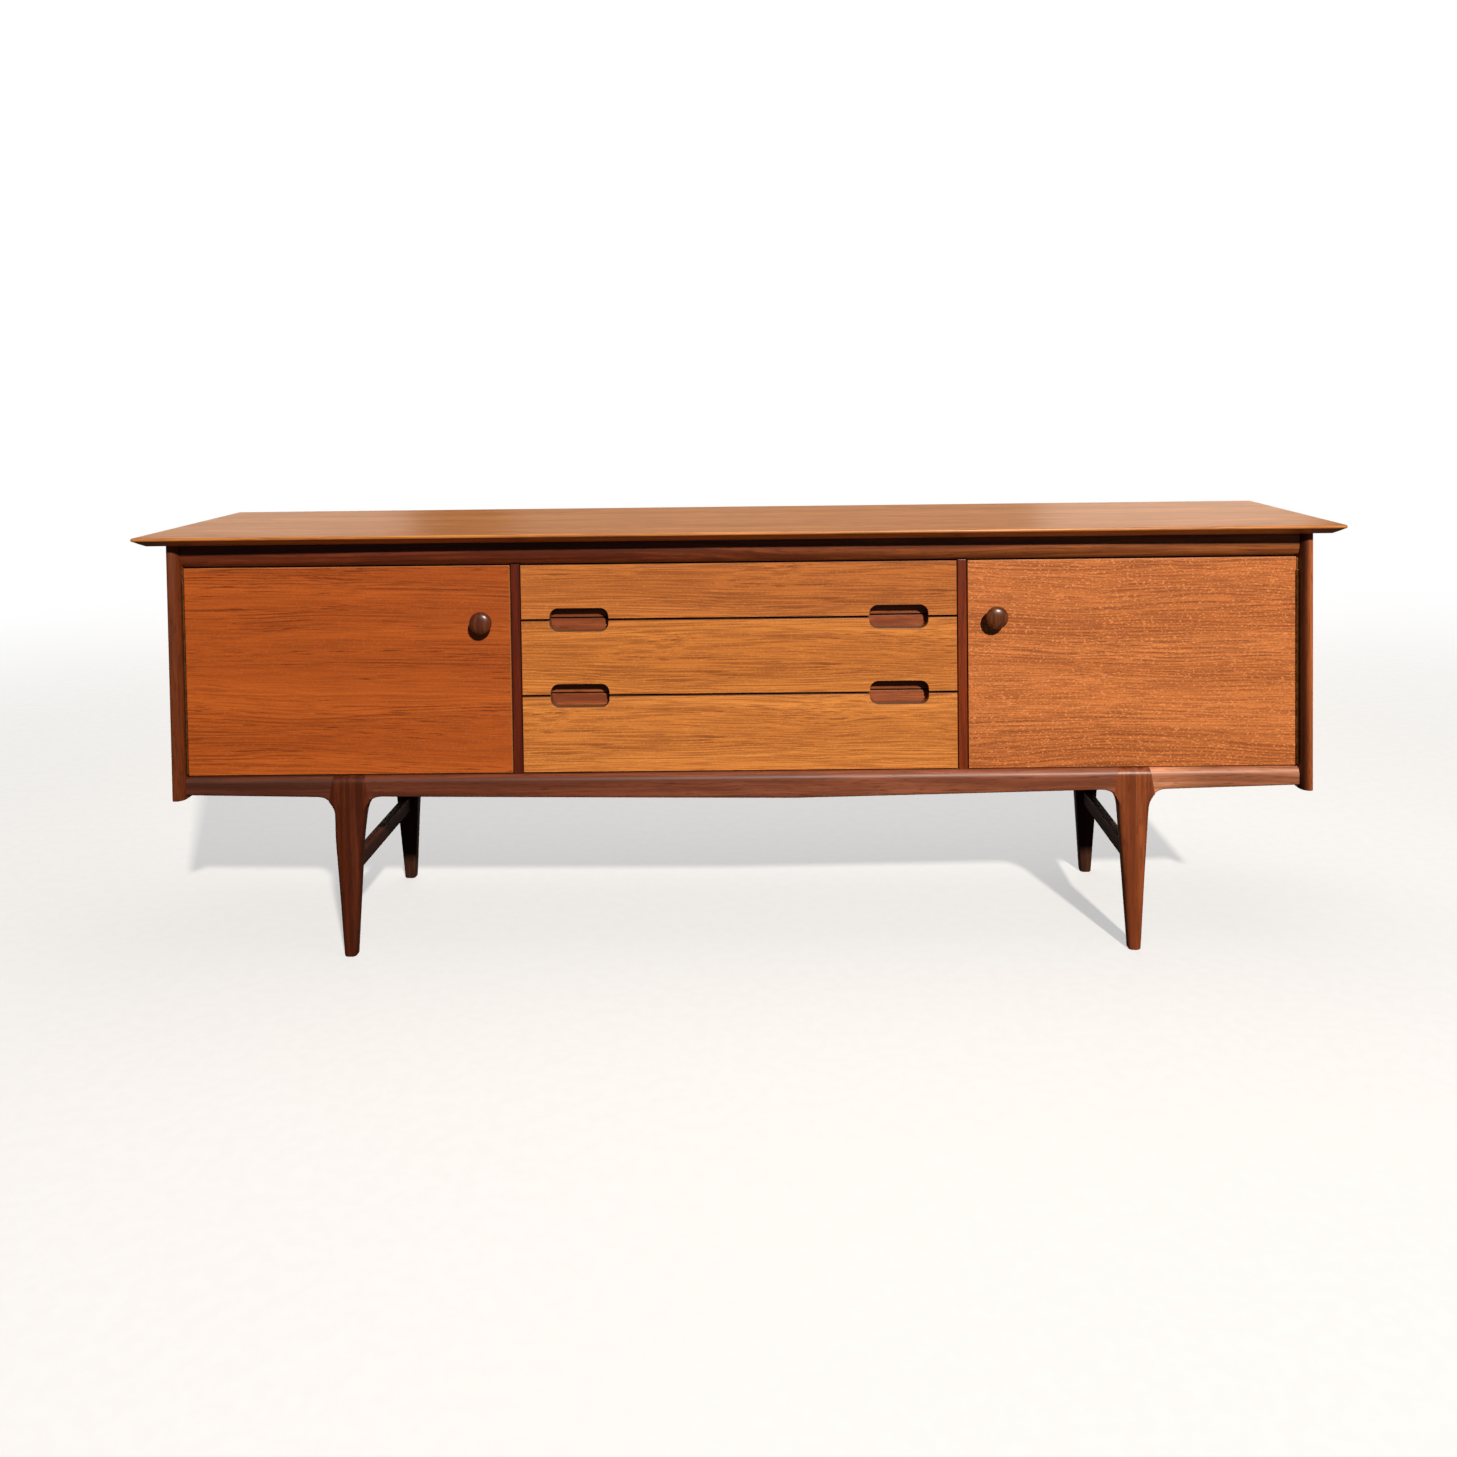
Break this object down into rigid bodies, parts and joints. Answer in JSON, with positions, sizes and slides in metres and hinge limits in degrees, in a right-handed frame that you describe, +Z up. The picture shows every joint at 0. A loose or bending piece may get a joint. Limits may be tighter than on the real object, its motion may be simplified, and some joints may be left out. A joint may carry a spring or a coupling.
{
  "type": "sideboard with doors and drawers",
  "caption": "Long low wooden sideboard with hinged cupboard doors, centre drawers with recessed finger pulls, an overhanging top and tapered legs.",
  "frame": {"origin": "on the floor, under the centre of the top board", "axes": "+X along the length to the viewer's right, the front faces -Y, +Z up"},
  "size_m": [2.13, 0.457, 0.767],
  "materials": {
    "teak_veneer": "oiled satin",
    "dark_hardwood": "oiled satin",
    "drawer_wood": "sanded, thin lacquer",
    "plywood": "sanded, unfinished",
    "brass": "aged, dull",
    "steel": "zinc plated"
  },
  "bodies": {
    "carcass": {"top_board": "teak_veneer", "side_panel_left": "teak_veneer", "side_panel_right": "teak_veneer", "side_lipping_left": "dark_hardwood", "side_lipping_right": "dark_hardwood", "top_rail": "dark_hardwood", "bottom_rail_left": "dark_hardwood", "bottom_rail_middle": "dark_hardwood", "bottom_rail_right": "dark_hardwood", "floor_board": "teak_veneer", "back_panel": "plywood", "rear_rail": "dark_hardwood", "divider_left": "teak_veneer", "divider_right": "teak_veneer", "divider_lipping_left": "dark_hardwood", "divider_lipping_right": "dark_hardwood", "shelf_left": "teak_veneer", "shelf_right": "teak_veneer", "runner_ladder_left": "drawer_wood", "runner_ladder_right": "drawer_wood", "leg_front_left": "dark_hardwood", "leg_front_right": "dark_hardwood", "leg_rear_left": "dark_hardwood", "leg_rear_right": "dark_hardwood", "stretcher_left": "dark_hardwood", "stretcher_right": "dark_hardwood", "hinge_fixed_leaf_left": "brass", "hinge_fixed_leaf_right": "brass", "catch_left": "steel", "catch_right": "steel"},
    "door_left": {"door_left": "teak_veneer", "knob_left": "dark_hardwood", "hinge_door_leaf_left": "brass"},
    "door_right": {"door_right": "teak_veneer", "knob_right": "dark_hardwood", "hinge_door_leaf_right": "brass"},
    "drawer_top": {"drawer_top_front": "teak_veneer", "drawer_top_side_left": "drawer_wood", "drawer_top_side_right": "drawer_wood", "drawer_top_back": "drawer_wood", "drawer_top_panel": "plywood", "drawer_top_pull_low_left": "dark_hardwood", "drawer_top_pull_low_right": "dark_hardwood"},
    "drawer_middle": {"drawer_middle_front": "teak_veneer", "drawer_middle_side_left": "drawer_wood", "drawer_middle_side_right": "drawer_wood", "drawer_middle_back": "drawer_wood", "drawer_middle_panel": "plywood", "drawer_middle_pull_low_left": "dark_hardwood", "drawer_middle_pull_low_right": "dark_hardwood", "drawer_middle_pull_high_left": "dark_hardwood", "drawer_middle_pull_high_right": "dark_hardwood"},
    "drawer_bottom": {"drawer_bottom_front": "teak_veneer", "drawer_bottom_side_left": "drawer_wood", "drawer_bottom_side_right": "drawer_wood", "drawer_bottom_back": "drawer_wood", "drawer_bottom_panel": "plywood", "drawer_bottom_pull_high_left": "dark_hardwood", "drawer_bottom_pull_high_right": "dark_hardwood"}
  },
  "joints": [
    {"name": "door_left_hinge", "type": "hinge", "parent": "carcass", "child": "door_left", "pos_m": [-0.9975, -0.174, 0.5175], "axis": [0, 0, -1], "range_deg": [0, 100]},
    {"name": "door_right_hinge", "type": "hinge", "parent": "carcass", "child": "door_right", "pos_m": [0.9975, -0.174, 0.5175], "axis": [0, 0, 1], "range_deg": [0, 100]},
    {"name": "drawer_top_slide", "type": "slide", "parent": "carcass", "child": "drawer_top", "axis": [0, -1, 0], "range_m": [0, 0.29]},
    {"name": "drawer_middle_slide", "type": "slide", "parent": "carcass", "child": "drawer_middle", "axis": [0, -1, 0], "range_m": [0, 0.29]},
    {"name": "drawer_bottom_slide", "type": "slide", "parent": "carcass", "child": "drawer_bottom", "axis": [0, -1, 0], "range_m": [0, 0.29]}
  ]
}
